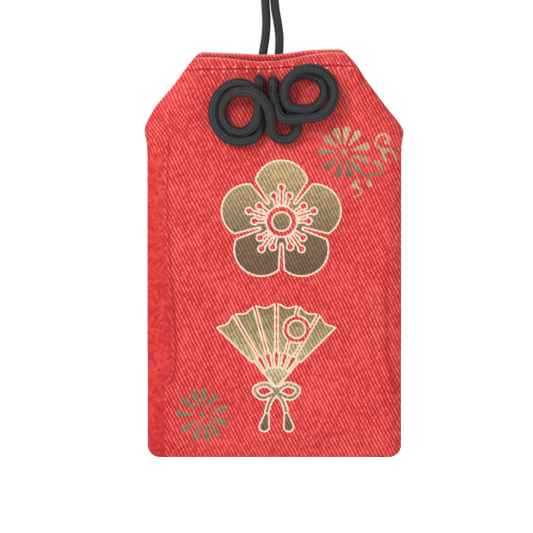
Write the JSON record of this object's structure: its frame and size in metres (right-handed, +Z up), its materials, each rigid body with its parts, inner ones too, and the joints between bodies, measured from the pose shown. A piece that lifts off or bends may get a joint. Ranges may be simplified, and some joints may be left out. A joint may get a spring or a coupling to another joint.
{
  "type": "omamori charm",
  "caption": "Flat red cloth charm pouch with shoulders, a looped black cord knot on its face and a hanging cord loop.",
  "frame": {"origin": "middle of the knot that ends the hanging loop, where the charm is held", "axes": "+X to the viewer's right, +Z up along the loop, the pouch's face looks along -Y"},
  "size_m": [0.05, 0.0136, 0.1463],
  "materials": {
    "red_twill": "red twill weave with a soft sheen",
    "white_felt": "thin pressed interlining",
    "red_thread": "sewing thread",
    "grey_board": "plain board",
    "white_paper": "folded paper",
    "pale_wood": "thin planed wood",
    "black_cord": "braided cord with a fine weave"
  },
  "bodies": {
    "hanger": {"end_knot": "black_cord"},
    "loop": {"loop_strand_left": "black_cord", "loop_strand_right": "black_cord"},
    "pouch": {"front_cloth": "red_twill", "back_cloth": "red_twill", "front_interlining": "white_felt", "back_interlining": "white_felt", "front_hem_thread": "red_thread", "back_hem_thread": "red_thread", "seam_thread": "red_thread", "cord_through_left": "black_cord", "cord_through_right": "black_cord"},
    "knot": {"front_knot": "black_cord"},
    "insert": {"stiffening_board": "grey_board", "amulet_packet": "white_paper", "amulet_slip": "pale_wood"}
  },
  "joints": [
    {"name": "loop_sway", "type": "hinge", "parent": "hanger", "child": "loop", "pos_m": [0, 0, 0], "axis": [0, 1, 0], "range_deg": [-80, 80]},
    {"name": "pouch_swing", "type": "hinge", "parent": "loop", "child": "pouch", "pos_m": [0, 0, -0.0598], "axis": [1, 0, 0], "range_deg": [0, 170]},
    {"name": "knot_lift", "type": "hinge", "parent": "pouch", "child": "knot", "pos_m": [0, -0.00505, -0.0575], "axis": [-1, 0, 0], "range_deg": [0, 90]},
    {"name": "insert_slide", "type": "slide", "parent": "pouch", "child": "insert", "axis": [0, 0, 1], "range_m": [0, 0.0025]}
  ]
}
